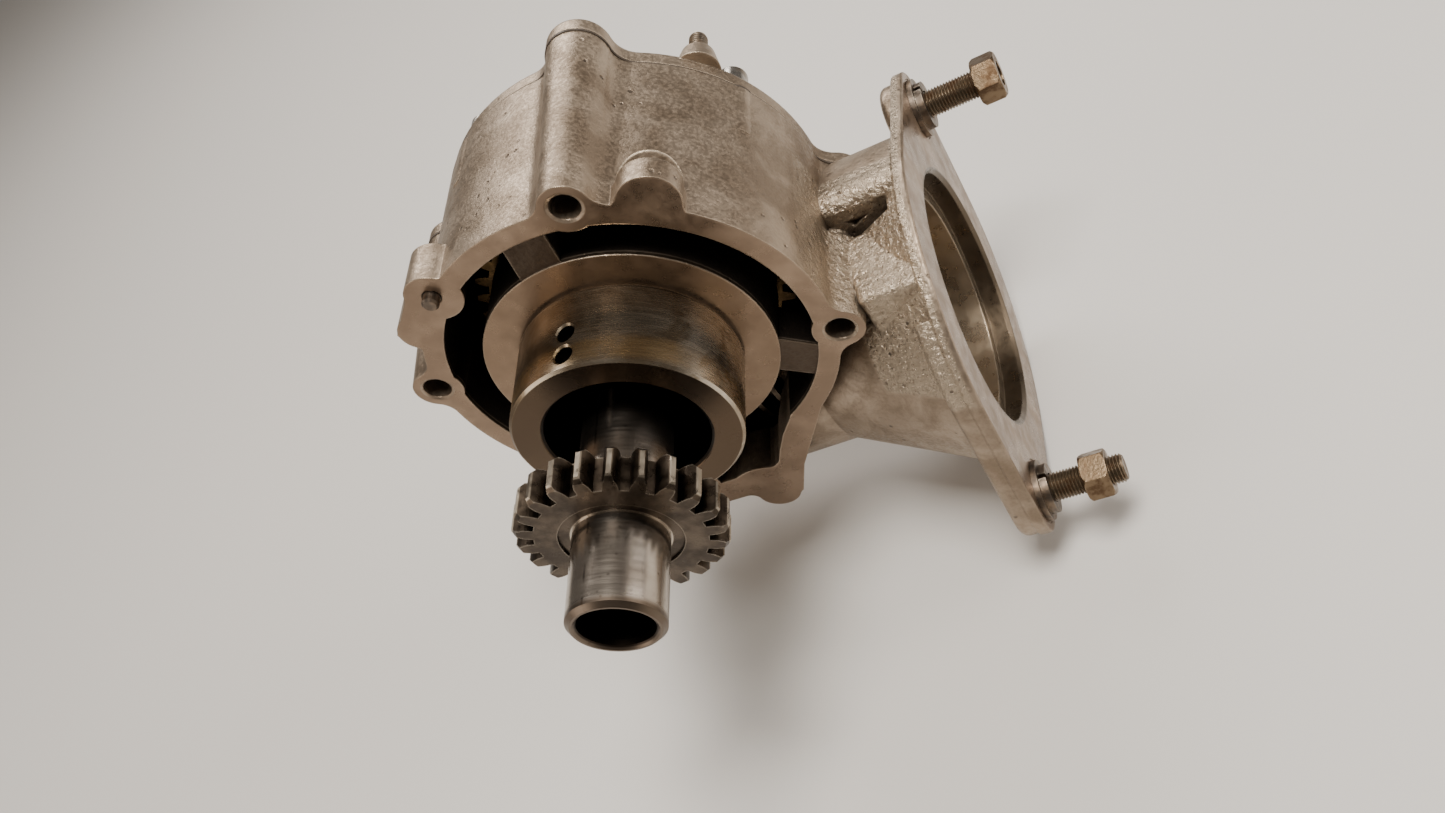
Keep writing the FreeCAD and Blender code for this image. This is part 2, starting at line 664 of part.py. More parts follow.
# --- gears --------------------------------------------------------------------------------------------


def involute(angle):
    return math.tan(angle) - angle


def tooth_flank(teeth, module, root, tip, thin):
    """(radius, half angle) pairs up one flank of a 20 degree tooth; thin is taken off the tooth width."""
    pitch = teeth * module / 2
    base = pitch * math.cos(math.radians(20))
    half = math.pi / (2 * teeth) + involute(math.radians(20)) - thin / (2 * pitch)
    start = max(base, root)
    radii = [start + (tip - start) * n / 5 for n in range(6)]
    flank = [(r, half - involute(math.acos(base / r))) for r in radii]
    if root < base:
        flank.insert(0, (root, half + 0.006))
    return flank


def gear_face(teeth, flank, phase):
    """Flat gear outline with local x and y; phase turns the first tooth off local x."""
    points = []
    for n in range(teeth):
        middle = phase + 2 * math.pi * n / teeth
        for radius, half in flank:
            points.append((radius * math.cos(middle - half), radius * math.sin(middle - half)))
        for radius, half in reversed(flank):
            points.append((radius * math.cos(middle + half), radius * math.sin(middle + half)))
    return polygon(points)


def pinion_shape():
    """Spur pinion with chamfered tooth ends and a shallow recess round the nose."""
    teeth = int(size("pinionTeeth"))
    tip = size("pinionTip")
    flank = tooth_flank(teeth, size("pinionModule"), size("pinionRoot"), tip, 0.15)
    start = size("pinionFront")
    end = size("pinionRear")
    body = raise_y(gear_face(teeth, flank, math.radians(62.7)), start, end)
    width = end - start
    rim = [V(0, start, 0), V(tip - 1.5, start, 0), V(tip + 1, start + 2.5, 0), V(tip + 1, end - 2.5, 0),
           V(tip - 1.5, end, 0), V(0, end, 0)]
    envelope = Part.Face(Part.makePolygon(rim + rim[:1])).revolve(ORIGIN, AXES["Y"], 360)
    body = body.common(envelope)
    relief = rod("Y", ORIGIN, start - 1, start + size("pinionReliefDepth"), size("pinionRelief"))
    return body.cut(relief).cut(rod("Y", ORIGIN, start - 1, start + width + 1, size("pinionBore")))


def wheel_shape():
    """Bronze worm wheel; the teeth are helical to suit the worm lead and a gap faces the worm."""
    teeth = int(size("wheelTeeth"))
    width = size("wheelFace")
    flank = tooth_flank(teeth, size("wheelModule"), size("wheelRoot"), size("wheelTip"), 1.0)
    phase = -math.pi / 2 + math.pi / teeth
    slope = size("wormLead") / (2 * math.pi * size("wormPitch")) / (teeth * size("wheelModule") / 2)
    wires = []
    for side in (-1, 1):
        away = side * width / 2
        wire = gear_face(teeth, flank, phase - slope * away).OuterWire
        wire.translate(V(0, 0, -away))
        wires.append(wire)
    body = Part.makeLoft(wires, True, True)
    body.rotate(ORIGIN, V(1, 0, 0), 90)
    body.translate(V(0, size("wormAcross"), 0))
    middle = size("wormAcross")
    for start, end in ((middle - width / 2 - 1, middle - 4.5), (middle + 4.5, middle + width / 2 + 1)):
        body = body.cut(rod("Y", ORIGIN, start, end, 41.5).cut(rod("Y", ORIGIN, start, end, 27.0)))
    body = body.cut(rod("Y", ORIGIN, 0, 80, size("seatRadius")))
    return body.cut(block((-4, 20, 10), (4, 60, 18.4)))


def worm_thread(phase):
    """One start of the worm thread as a swept trapezoid."""
    lead = size("wormLead")
    root = size("wormRoot") - 0.6
    tip = size("wormTip")
    half_tip = 0.85
    half_root = half_tip + (tip - root) * math.tan(math.radians(20))
    length = 64.0
    helix = Part.makeHelix(lead, length, size("wormPitch"))
    corners = [V(root, 0, -half_root), V(tip, 0, -half_tip), V(tip, 0, half_tip), V(root, 0, half_root)]
    section = Part.makePolygon(corners + corners[:1])
    thread = Part.Wire(helix.Edges).makePipeShell([section], True, True)
    thread.rotate(ORIGIN, V(0, 0, 1), phase)
    return thread


def worm_shape():
    """Worm with journals, bearing seat and slotted drive end, turned so a thread meets the wheel gap."""
    lead = size("wormLead")
    core = [Part.makeCylinder(size("wormRoot"), 88, V(0, 0, -44))]
    phase = 90 - 360 * (32.0 / lead)
    for start in (0, 180):
        thread = worm_thread(phase + start)
        thread.translate(V(0, 0, -32))
        core.append(thread)
    ends = [Part.makeCylinder(9.95, 17, V(0, 0, -61)), Part.makeCylinder(16, 6, V(0, 0, 42))]
    ends += [Part.makeCylinder(12.5, 15.2, V(0, 0, 48)), Part.makeCylinder(11, 10.8, V(0, 0, 63.2))]
    ends.append(Part.makeCone(11, 10, 1, V(0, 0, 74)))
    body = core[0].multiFuse(core[1:] + ends)
    body = body.common(Part.makeCylinder(40, 140, V(0, 0, -62)))
    body = body.cut(Part.makeBox(6.4, 30, 8, V(-3.2, -15, 68)))
    body.rotate(ORIGIN, V(1, 1, 1), 120)
    body.translate(WORM)
    return body


feature("pinion", pinion_shape())
feature("worm_wheel", wheel_shape())
feature("worm_shaft", worm_shape())


# --- output shaft and the pieces on it ----------------------------------------------------------------


def ring_tool(y, width, outer, inner):
    return rod("Y", ORIGIN, y, y + width, outer).cut(rod("Y", ORIGIN, y, y + width, inner))


def make_shaft():
    outside = [
        ("noseEnd", "noseEnd + noseChamfer", "noseRadius - noseChamfer", "noseRadius"),
        ("noseEnd + noseChamfer", "pinionFront + pinionReliefDepth", "noseRadius"),
        ("pinionFront + pinionReliefDepth", "pinionRear", "pinionBore"),
        ("pinionRear", "collarStart", "neckRadius"),
        ("collarStart", "frontBearingStart", "collarRadius"),
        ("frontBearingStart", "tailStart", "seatRadius"),
        ("tailStart", "tailEnd - 0.8", "tailRadius"),
        ("tailEnd - 0.8", "tailEnd", "tailRadius", "tailRadius - 0.8"),
    ]
    inside = [
        ("noseEnd - 1", "noseBoreEnd", "noseBore"),
        ("noseEnd - 0.1", "noseEnd + 1", "noseBore + 1.1", "noseBore"),
        ("noseBoreEnd - 1", "tailEnd + 1", "oilBore"),
    ]
    body = turned("output_shaft", "Y", ORIGIN, outside, inside)
    keyway = block((-4, 28.5, 11), (4, 44.5, 20))
    groove = ring_tool(size("rearBearingEnd") + 0.1, 1.4, 13, 11.8)
    node(less("output_shaft", body, [keyway, groove]), "output_shaft")


def make_key():
    key = doc.addObject("Part::Box", "wheel_key")
    key.Length = 8
    key.Width = 16
    key.Height = 7
    key.Placement = FreeCAD.Placement(V(-4, 28.5, 11), FreeCAD.Rotation())
    node(key, "wheel_key")


def circlip_shape(inner, outer, thick, ear, gap):
    """Open spring ring in local x, y with an ear and plier hole on each side of the gap."""
    ring = Part.makeCylinder(outer, thick).cut(Part.makeCylinder(inner, thick))
    ring = ring.cut(Part.makeBox(gap, outer + 2, thick, V(-gap / 2, 0, 0)))
    inward = ear < inner
    for side in (-1, 1):
        at = V(side * (gap / 2 + 1.6), (inner - 0.3) if inward else (outer + 0.3), 0)
        tab = Part.makeCylinder(2.2, thick, at).cut(Part.makeCylinder(0.9, thick, at))
        ring = ring.fuse(tab.cut(Part.makeBox(gap, outer + 9, thick, V(-gap / 2, 0, 0))))
        ring = ring.cut(Part.makeCylinder(0.9, thick, at))
    return ring


def shaft_circlip():
    ring = circlip_shape(11.9, 14.6, 1.2, 20, 5.0)
    ring.rotate(ORIGIN, V(1, 0, 0), -90)
    ring.translate(V(0, size("rearBearingEnd") + 0.2, 0))
    return ring


def port_circlip():
    ring = circlip_shape(24.6, 28.0, 1.9, 10, 9.0)
    ring.rotate(ORIGIN, V(1, 1, 1), 120)
    ring.translate(V(63.3, WORM.y, WORM.z))
    return ring


def simple_ring(label, axis, at, start, end, outer, inner):
    bore = (start + " - 1", end + " + 1", inner)
    return node(turned(label, axis, at, [(start, end, outer)], [bore]), label)


make_shaft()
make_key()
feature("shaft_circlip", shaft_circlip())
feature("port_circlip", port_circlip())
simple_ring("front_spacer", "Y", ORIGIN, "hubEnd", "wormAcross - wheelFace / 2", "19.5", "seatRadius")
simple_ring("rear_spacer", "Y", ORIGIN, "wormAcross + wheelFace / 2", "tailStart", "18.5", "seatRadius")
simple_ring("worm_tail_bushing", "X", WORM, "-62", "-46", "14", "10.02")


def plug_shape():
    end = size("tailBossEnd")
    plug = rod("X", WORM, end + 0.6, -64, 16.0)
    plug = plug.makeFillet(1.5, [e for e in plug.Edges if e.BoundBox.XMax < end + 0.7])
    return plug.cut(rod("X", WORM, end, end + 3.6, 12.5, 11.5))


feature("tunnel_plug", plug_shape())


# --- ball bearings ------------------------------------------------------------------------------------


def make_bearing(name, axis, at, start, bore, outer, width, ball, count):
    """Outer race, inner race, cage and balls of one deep-groove bearing."""
    pitch = (bore + outer) / 2
    direction = AXES[axis]
    middle = V(at) + direction * (start + width / 2)
    groove = Part.makeTorus(pitch, ball + 0.3, middle, direction)
    land = ball * 0.52
    end = start + width
    outside = rod(axis, at, start, end, outer).cut(rod(axis, at, start, end, pitch + land)).cut(groove)
    inside = rod(axis, at, start, end, pitch - land).cut(rod(axis, at, start, end, bore)).cut(groove)
    low = start + width / 2 - ball - 0.95
    high = start + width / 2 + ball + 0.95
    cage = rod(axis, at, low, high, pitch + land - 0.6).cut(rod(axis, at, low, high, pitch - land + 0.6))
    across = AXES["Z"]
    other = direction.cross(across)
    balls = []
    for n in range(count):
        turn = 2 * math.pi * (n + 0.3) / count
        outward = across * math.cos(turn) + other * math.sin(turn)
        centre = middle + outward * pitch
        balls.append(Part.makeSphere(ball, centre))
        cage = cage.cut(Part.makeCylinder(ball + 0.12, 2 * land, centre - outward * land, outward))
    feature(name + "_outer_race", outside)
    feature(name + "_inner_race", inside)
    feature(name + "_cage", cage)
    feature(name + "_balls", Part.makeCompound(balls))


FRONT = size("frontBearingStart")
make_bearing("front_bearing", "Y", ORIGIN, FRONT, size("seatRadius"), 27.5, 13.0, 4.6, 11)
make_bearing("rear_bearing", "Y", ORIGIN, size("tailStart"), size("tailRadius"), size("ballRaceOuter"), 15.0, 4.0, 10)
make_bearing("worm_bearing", "X", WORM, size("wormSeatEnd"), 12.5, size("ballRaceOuter"), 15.0, 4.0, 10)

doc.recompute()
for item in doc.Objects:
    if "Invalid" in item.State or "Error" in item.State:
        raise RuntimeError("%s is in state %s" % (item.Label, item.State))
for item in NODES:
    if item.Shape.isNull() or not item.Shape.isValid():
        raise RuntimeError("%s has no valid shape" % item.Label)

os.makedirs("parts", exist_ok=True)
for item in NODES:
    item.Shape.exportStep("parts/%s.step" % item.Label)
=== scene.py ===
"""Looks of a right-angle worm gearbox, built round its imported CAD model. Metres, in the CAD frame."""

import json
import math
from types import SimpleNamespace

import bmesh
import bpy
from mathutils import Matrix, Vector


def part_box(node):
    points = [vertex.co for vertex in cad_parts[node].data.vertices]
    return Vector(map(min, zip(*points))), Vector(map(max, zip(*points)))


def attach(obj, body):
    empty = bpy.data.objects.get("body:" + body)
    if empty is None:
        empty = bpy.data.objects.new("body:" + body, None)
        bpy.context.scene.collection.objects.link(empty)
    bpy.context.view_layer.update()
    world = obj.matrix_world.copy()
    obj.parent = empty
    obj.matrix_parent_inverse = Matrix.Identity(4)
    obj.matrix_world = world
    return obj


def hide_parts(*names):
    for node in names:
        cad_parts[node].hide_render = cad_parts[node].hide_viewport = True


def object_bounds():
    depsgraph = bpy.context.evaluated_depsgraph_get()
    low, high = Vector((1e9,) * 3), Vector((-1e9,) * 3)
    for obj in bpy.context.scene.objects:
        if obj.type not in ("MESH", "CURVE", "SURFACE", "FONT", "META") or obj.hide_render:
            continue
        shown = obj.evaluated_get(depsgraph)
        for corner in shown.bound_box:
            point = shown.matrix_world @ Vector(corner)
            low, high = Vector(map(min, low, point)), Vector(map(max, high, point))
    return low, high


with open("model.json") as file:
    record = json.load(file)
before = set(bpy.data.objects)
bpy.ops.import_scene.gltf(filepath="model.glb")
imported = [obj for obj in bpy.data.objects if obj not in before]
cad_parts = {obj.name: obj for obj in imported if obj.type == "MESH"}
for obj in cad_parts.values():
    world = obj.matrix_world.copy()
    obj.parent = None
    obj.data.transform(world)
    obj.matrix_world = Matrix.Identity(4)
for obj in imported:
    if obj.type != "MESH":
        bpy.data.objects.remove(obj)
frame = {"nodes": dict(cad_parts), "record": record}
CAD_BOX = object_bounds()
NODES = frame["nodes"]
MOUNTS = {m["name"]: m for m in frame["record"]["mounts"]}
MM = 0.001

# --- places taken from the frame ----------------------------------------------------------------------

WORM = Vector(MOUNTS["drive_slot"]["pos_m"])
PILOT_RADIUS = MOUNTS["port_pilot"]["dims"]["r_mm"] * MM
RECESS_RADIUS = PILOT_RADIUS - 5.5 * MM
PORT_FACE = MOUNTS["port_face"]["pos_m"][0]
PILOT_FLOOR = PORT_FACE - 7.3 * MM
RECESS_FLOOR = PORT_FACE - 24.5 * MM
SLEEVE_RADIUS = MOUNTS["sleeve_pilot"]["dims"]["r_mm"] * MM
NOSE_BORE = MOUNTS["nose_bore"]["dims"]["r_mm"] * MM
STUD_RADIUS = MOUNTS["port_studs"]["dims"]["stud_r_mm"] * MM
SLEEVE_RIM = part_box("front_sleeve")[0].y
NOSE_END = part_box("output_shaft")[0].y
TIP_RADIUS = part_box("pinion")[1].x
FLOOR = CAD_BOX[0].z

# --- places on the housing, from the shaft axis and the mounting face ---------------------------------

HUB_RADIUS = 46.0 * MM
CAVITY_RADIUS = 57.2 * MM
WEB_FRONT = 0.9 * MM
COVER_JOINT = 62.0 * MM
SUMP_X = 6.0 * MM
SUMP_Z = -58.0 * MM
NECK_START = 62.5 * MM
BLOCK_BOTTOM = -46.0 * MM

# --- other sizes --------------------------------------------------------------------------------------

PORT_NUT_HEIGHT = 8.3 * MM
PORT_THREAD_PITCH = 1.06 * MM
COVER_THREAD_PITCH = 1.0 * MM
THREAD_SIDES = 36
ROWS_PER_TURN = 8
CAMERA_AT = (0.16615, -0.23655, 0.22942)
CAMERA_HEADING = 33.047
CAMERA_DOWN = 43.023
CAMERA_ROLL = -43.565
CAMERA_LENS = 29.74

# --- colours ------------------------------------------------------------------------------------------

# Near black: painted shade in the sleeve bore, and painted shade with oil inside the housing.
OIL_AND_SHADE_BLACK = (0.012, 0.009, 0.007)
# Dark painted shade for gear crevices, the nose bore and the shaft inside the sleeve.
SHADE_DARK = (0.022, 0.016, 0.012)


# --- node graph helpers -------------------------------------------------------------------------------


class Graph:
    """A material's node tree, with short calls for the nodes used here."""

    def __init__(self, name, metallic=1.0, roughness=0.4, color=(0.5, 0.5, 0.5)):
        self.material = bpy.data.materials.new(name)
        self.material.use_nodes = True
        self.tree = self.material.node_tree
        self.shader = self.tree.nodes["Principled BSDF"]
        self.shader.inputs["Metallic"].default_value = metallic
        self.shader.inputs["Roughness"].default_value = roughness
        self.shader.inputs["Base Color"].default_value = (*color, 1)
        self.place = self.add("ShaderNodeTexCoord").outputs["Object"]
        split = self.add("ShaderNodeSeparateXYZ", Vector=self.place)
        self.x, self.y, self.z = split.outputs
        self.height = None

    def add(self, kind, **inputs):
        """New node with its named inputs set or linked."""
        made = self.tree.nodes.new(kind)
        for key, value in inputs.items():
            self.feed(made.inputs[key], value)
        return made

    def feed(self, socket, value):
        """Links a socket, or sets its constant."""
        if isinstance(value, bpy.types.NodeSocket):
            self.tree.links.new(value, socket)
        elif isinstance(value, tuple) and len(value) == 3 and socket.type == "RGBA":
            socket.default_value = (*value, 1)
        else:
            socket.default_value = value

    def math(self, operation, a, b=0.0):
        made = self.tree.nodes.new("ShaderNodeMath")
        made.operation = operation
        self.feed(made.inputs[0], a)
        self.feed(made.inputs[1], b)
        return made.outputs[0]

    def ramp(self, value, low, high, start=0.0, end=1.0):
        """Smooth step of value from low..high onto start..end."""
        made = self.tree.nodes.new("ShaderNodeMapRange")
        made.interpolation_type = "SMOOTHSTEP"
        for index, item in enumerate((value, low, high, start, end)):
            self.feed(made.inputs[index], item)
        return made.outputs[0]

    def scaled(self, x, y, z):
        """Object coordinates multiplied per axis."""
        made = self.add("ShaderNodeVectorMath", Vector=self.place)
        made.operation = "MULTIPLY"
        made.inputs[1].default_value = (x, y, z)
        return made.outputs[0]

    def noise(self, size, detail=4.0, rough=0.55, vector=None, warp=0.0):
        """Noise with features about this size in metres."""
        made = self.add("ShaderNodeTexNoise", Scale=1 / size, Detail=detail, Roughness=rough)
        made.inputs["Distortion"].default_value = warp
        self.feed(made.inputs["Vector"], vector or self.place)
        return made.outputs[0]

    def cells(self, size):
        """Distance to the nearest of points scattered about this far apart."""
        made = self.add("ShaderNodeTexVoronoi", Scale=1 / size)
        self.feed(made.inputs["Vector"], self.place)
        return made.outputs[0]

    def mix(self, factor, a, b):
        """Colour mix."""
        made = self.tree.nodes.new("ShaderNodeMix")
        made.data_type = "RGBA"
        self.feed(made.inputs[0], factor)
        self.feed(made.inputs[6], a)
        self.feed(made.inputs[7], b)
        return made.outputs[2]

    def blend(self, factor, a, b):
        """Number mix."""
        made = self.tree.nodes.new("ShaderNodeMix")
        self.feed(made.inputs[0], factor)
        self.feed(made.inputs[2], a)
        self.feed(made.inputs[3], b)
        return made.outputs[0]

    def either(self, *masks):
        """Mask of the places in any of the masks."""
        total = masks[0]
        for mask in masks[1:]:
            total = self.math("MAXIMUM", total, mask)
        return total

    def both(self, *masks):
        """Mask of the places in all of the masks."""
        total = masks[0]
        for mask in masks[1:]:
            total = self.math("MULTIPLY", total, mask)
        return total

    def outside(self, mask):
        """Mask of the places that a mask leaves out."""
        return self.math("SUBTRACT", 1.0, mask)

    def near(self, value, centre, half, soft):
        """1 where value is within half of centre, falling to 0 over soft."""
        off = self.math("ABSOLUTE", self.math("SUBTRACT", value, centre))
        return self.ramp(off, half, half + soft, 1.0, 0.0)

    def radius(self, a, b, centre_a=0.0, centre_b=0.0):
        """Distance from an axis that crosses the plane of a and b."""
        da = self.math("SUBTRACT", a, centre_a)
        db = self.math("SUBTRACT", b, centre_b)
        squares = self.math("ADD", self.math("MULTIPLY", da, da), self.math("MULTIPLY", db, db))
        return self.math("SQRT", squares)

    def angle(self, a, b):
        """Angle round the origin in the plane of a and b, in radians."""
        return self.math("ARCTAN2", b, a)

    def normal_axis(self, axis):
        """Component of the surface normal in object space."""
        normal = self.add("ShaderNodeTexCoord").outputs["Normal"]
        return self.add("ShaderNodeSeparateXYZ", Vector=normal).outputs[axis]

    def crevice(self, distance):
        """0 in the open, 1 deep in corners; the colours below use it to paint shade into corners."""
        made = self.add("ShaderNodeAmbientOcclusion", Distance=distance)
        made.samples = 6
        return self.outside(made.outputs["AO"])

    def edges(self, distance):
        """1 on outer corners."""
        made = self.add("ShaderNodeAmbientOcclusion", Distance=distance)
        made.samples = 6
        made.inside = True
        return self.outside(made.outputs["AO"])

    def bump(self, height, strength, distance):
        """Adds relief on top of what earlier calls left on the normal."""
        made = self.add("ShaderNodeBump", Strength=strength, Distance=distance, Height=height)
        if self.height:
            self.feed(made.inputs["Normal"], self.height)
        self.height = made.outputs[0]
        self.feed(self.shader.inputs["Normal"], self.height)

    def soften(self, radius):
        """Rounds sharp corners in shading."""
        made = self.add("ShaderNodeBevel", Radius=radius)
        made.samples = 6
        self.height = made.outputs[0]
        self.feed(self.shader.inputs["Normal"], self.height)

    def finish(self, color=None, roughness=None):
        if color:
            self.feed(self.shader.inputs["Base Color"], color)
        if roughness:
            self.feed(self.shader.inputs["Roughness"], roughness)
        return self.material


# --- materials ----------------------------------------------------------------------------------------


def machined_masks(g, from_shaft, from_worm):
    """Mounting face, hub face, port face and the two turned steps in the port."""
    faces_front = g.ramp(g.normal_axis(1), -0.9, -0.97)
    front = g.both(faces_front, g.near(g.y, 0.0, 0.3 * MM, 0.2 * MM))
    hub = g.both(front, g.ramp(from_shaft, HUB_RADIUS + 0.2 * MM, HUB_RADIUS - 0.2 * MM))
    faces_port = g.ramp(g.normal_axis(0), 0.9, 0.97)
    port = g.both(faces_port, g.near(g.x, PORT_FACE, 0.6 * MM, 0.2 * MM))
    pilot = g.both(
        g.ramp(from_worm, PILOT_RADIUS + 2.0 * MM, PILOT_RADIUS + 1.6 * MM),
        g.ramp(g.x, PILOT_FLOOR - 1.0 * MM, PILOT_FLOOR - 0.6 * MM),
    )
    recess = g.both(
        g.ramp(from_worm, RECESS_RADIUS + 1.6 * MM, RECESS_RADIUS + 1.2 * MM),
        g.ramp(g.x, RECESS_FLOOR - 2.5 * MM, RECESS_FLOOR - 2.0 * MM),
    )
    bored = g.either(pilot, recess)
    return hub, bored, g.either(front, port, bored)


def oil_and_shade_masks(g, from_shaft):
    """Front of the three webs, and the inside of the cavity and the sump's corners; both are painted dark as
    shade, with oil black.
    """
    within = g.ramp(from_shaft, CAVITY_RADIUS + 0.4 * MM, CAVITY_RADIUS + 0.1 * MM)
    behind_webs = g.ramp(g.y, 1.0 * MM, 2.2 * MM)
    before_cover = g.ramp(g.y, COVER_JOINT - 0.5 * MM, COVER_JOINT - 0.8 * MM)
    inner = g.both(within, behind_webs, before_cover)
    # Web fronts: painted dark as shade, with oil.
    webs = g.both(within, g.near(g.y, WEB_FRONT, 0.4 * MM, 0.2 * MM))
    sump = g.both(
        g.ramp(g.y, 0.4 * MM, 1.2 * MM),
        g.near(g.x, SUMP_X, 19 * MM, 3 * MM),
        g.near(g.z, SUMP_Z, 15.5 * MM, 2 * MM),
    )
    # The sump is painted black only in the corners that ambient occlusion finds: painted shade.
    return webs, g.either(inner, g.both(sump, g.ramp(g.crevice(20 * MM), 0.2, 0.45)))


def rough_mask(g, skin):
    """Coarse skin of the block and roll beside the port, and of the flange edge above them."""
    neck = g.both(
        g.ramp(g.x, NECK_START, NECK_START + 2.0 * MM),
        g.ramp(g.x, PORT_FACE - 1.0 * MM, PORT_FACE - 2.5 * MM),
        g.ramp(g.z, BLOCK_BOTTOM - 2.5 * MM, BLOCK_BOTTOM),
        skin,
    )
    smooth = g.both(g.ramp(g.y, 47 * MM, 50 * MM), g.ramp(g.x, PORT_FACE - 4.0 * MM, PORT_FACE - 5.5 * MM))
    return g.both(neck, g.outside(smooth))


def cast_color(g, mask):
    """Mottled tan casting, with painted shade in its corners and dark pits."""
    mottle = g.noise(14 * MM, 5.0, 0.6, warp=0.6)
    color = g.mix(g.ramp(mottle, 0.35, 0.68), (0.235, 0.180, 0.130), (0.38, 0.305, 0.235))
    color = g.mix(g.ramp(g.noise(50 * MM, 3.0, 0.6), 0.50, 0.72), color, (0.46, 0.375, 0.29))
    color = g.mix(g.both(mask.rough, 0.75), color, (0.47, 0.39, 0.30))
    # Painted shade: corners darkened by the ambient occlusion mask.
    color = g.mix(g.both(mask.deep, 0.85), color, (0.045, 0.030, 0.020))
    return g.mix(g.both(mask.pit, 0.75), color, (0.06, 0.045, 0.035))


def machined_color(g, hub):
    """Brown oiled joint faces, darker on the hub."""
    patches = g.ramp(g.noise(18 * MM, 4.0), 0.4, 0.7)
    color = g.mix(patches, (0.225, 0.160, 0.112), (0.315, 0.230, 0.165))
    return g.mix(g.both(hub, 0.55), color, (0.20, 0.135, 0.085))


def port_light_and_shade(g, bored):
    """Bright turned recess behind a dark pilot: painted light on the recess, fading darker towards the
    pilot, and painted shade on the pilot.
    """
    # Painted light: the recess is pale, brightest deepest in.
    recess = g.mix(g.ramp(g.x, 69 * MM, 80 * MM), (0.62, 0.52, 0.40), (0.42, 0.34, 0.25))
    in_recess = g.both(bored, g.ramp(g.x, PILOT_FLOOR + 0.1 * MM, PILOT_FLOOR - 0.1 * MM))
    return g.mix(in_recess, (0.105, 0.080, 0.055), recess)


def cast_aluminium():
    """Sand-cast skin with machined joint faces, a turned port with painted light and shade, and black oil
    with painted shade inside.
    """
    g = Graph("cast_aluminium", metallic=0.88)
    g.soften(0.7 * MM)
    from_shaft = g.radius(g.x, g.z)
    hub, bored, turned = machined_masks(g, from_shaft, g.radius(g.y, g.z, WORM.y, WORM.z))
    webs, black = oil_and_shade_masks(g, from_shaft)
    skin = g.outside(turned)
    mask = SimpleNamespace(
        rough=rough_mask(g, skin),
        # Corner mask for painted shade.
        deep=g.ramp(g.crevice(9 * MM), 0.40, 0.85),
        pit=g.both(g.ramp(g.cells(4.2 * MM), 0.20, 0.10), g.ramp(g.noise(20 * MM, 2.0), 0.5, 0.62)),
    )
    worn = g.ramp(g.edges(1.4 * MM), 0.42, 0.62)
    color = g.mix(turned, cast_color(g, mask), machined_color(g, hub))
    # Port bore colours: painted light and shade.
    color = g.mix(bored, color, port_light_and_shade(g, bored))
    # Web fronts darkened: painted shade with oil.
    color = g.mix(g.both(webs, 0.9), color, (0.040, 0.026, 0.017))
    color = g.mix(g.both(worn, 0.6, g.outside(g.either(black, bored))), color, (0.66, 0.55, 0.42))
    # Cavity and sump corners near black: painted shade with oil.
    color = g.mix(g.both(black, 0.96), color, OIL_AND_SHADE_BLACK)

    grain = g.noise(1.1 * MM, 3.0)
    cast_rough = g.ramp(grain, 0.3, 0.75, 0.34, 0.58)
    turned_rough = g.ramp(g.noise(6 * MM, 3.0), 0.35, 0.7, 0.26, 0.42)
    roughness = g.blend(turned, cast_rough, turned_rough)
    roughness = g.math("ADD", roughness, g.both(g.either(mask.deep, black), 0.25))
    roughness = g.math("SUBTRACT", roughness, g.both(mask.rough, 0.10))

    g.bump(grain, g.both(skin, 0.5), 0.25 * MM)
    g.bump(g.noise(2.1 * MM, 4.0, 0.6, warp=0.4), mask.rough, 1.2 * MM)
    g.bump(g.noise(6 * MM, 3.0), g.both(skin, 0.5), 0.6 * MM)
    g.bump(g.outside(mask.pit), g.both(skin, 0.8), 0.4 * MM)
    return g.finish(color, roughness)


